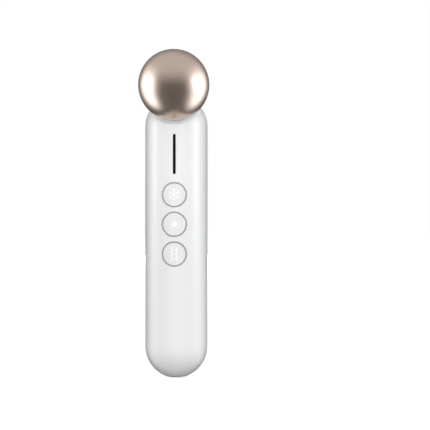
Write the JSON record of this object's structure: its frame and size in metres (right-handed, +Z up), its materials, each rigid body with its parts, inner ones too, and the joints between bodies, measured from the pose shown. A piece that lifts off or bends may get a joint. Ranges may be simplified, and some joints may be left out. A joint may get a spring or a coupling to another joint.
{
  "type": "heated eye massager wand",
  "caption": "Hand-held eye massage wand with a warming and cooling metal ball on a tilted seat, a status window and round push buttons on a capsule grip.",
  "frame": {"origin": "centre of the flat charging face at the grip's foot", "axes": "+Z up along the grip towards the ball, -Y out of the side with the buttons and the ball, +X to the right of someone who looks at the buttons"},
  "size_m": [0.0344, 0.0515, 0.1609],
  "materials": {
    "shell_white": "glossy moulded white",
    "button_white": "satin moulded white with printed symbols",
    "ball_metal": "polished champagne plating",
    "gasket_silicone": "matte light grey",
    "black_rubber": "matte",
    "aluminium": "machined",
    "white_ceramic": "fired alumina",
    "semiconductor": "dull grey",
    "steel": "bright",
    "black_plastic": "matte",
    "trim_grey": "satin grey",
    "window_black": "smoked gloss",
    "clear_plastic": "clear acrylic",
    "lamp_yellow": "clear over yellow",
    "board_green": "solder mask",
    "coil_grey": "ferrite",
    "chassis_grey": "natural moulded",
    "cell_wrap": "shrink sleeve",
    "foam_grey": "closed-cell foam",
    "weight_metal": "sintered",
    "lead_cover": "insulated lead",
    "contact_gold": "gold plated",
    "magnet_nickel": "nickel plated"
  },
  "bodies": {
    "wand": {"front_shell": "shell_white", "rear_cover": "shell_white", "massage_ball": "ball_metal", "seat_gasket": "gasket_silicone", "neck_seal": "black_rubber", "heat_slug": "aluminium", "thermoelectric_plates": "white_ceramic", "thermoelectric_legs": "semiconductor", "heat_sink": "aluminium", "head_screws": "steel", "temperature_sensor": "black_plastic", "switch_cases": "steel", "button_trim_rings": "trim_grey", "status_window": "window_black", "light_guide": "clear_plastic", "status_lamps": "lamp_yellow", "main_board": "board_green", "board_chips": "black_plastic", "power_coil": "coil_grey", "board_screws": "steel", "chassis": "chassis_grey", "chassis_screws": "steel", "battery_cell": "cell_wrap", "battery_tabs": "steel", "battery_foam": "foam_grey", "motor_can": "steel", "motor_sleeve": "black_rubber", "motor_leads": "lead_cover", "battery_leads": "lead_cover", "charge_leads": "lead_cover", "head_leads": "lead_cover", "contact_holder": "chassis_grey", "contact_rings": "contact_gold", "docking_magnet": "magnet_nickel", "charge_board": "board_green"},
    "cold_key": {"cold_button": "button_white", "cold_switch_plunger": "black_plastic"},
    "heat_key": {"heat_button": "button_white", "heat_switch_plunger": "black_plastic"},
    "vibration_key": {"vibration_button": "button_white", "vibration_switch_plunger": "black_plastic"},
    "rotor": {"motor_shaft": "steel", "eccentric_weight": "weight_metal"}
  },
  "joints": [
    {"name": "cold_button_press", "type": "slide", "parent": "wand", "child": "cold_key", "axis": [0, 1, 0], "range_m": [0, 0.0003], "stiffness_N_per_m": 2000, "springref_m": -0.0002},
    {"name": "heat_button_press", "type": "slide", "parent": "wand", "child": "heat_key", "axis": [0, 1, 0], "range_m": [0, 0.0003], "stiffness_N_per_m": 2000, "springref_m": -0.0002},
    {"name": "vibration_button_press", "type": "slide", "parent": "wand", "child": "vibration_key", "axis": [0, 1, 0], "range_m": [0, 0.0003], "stiffness_N_per_m": 2000, "springref_m": -0.0002},
    {"name": "motor_spin", "type": "hinge", "parent": "wand", "child": "rotor", "pos_m": [0, 0.00067, 0.1], "axis": [0, 0, 1], "continuous": true}
  ]
}
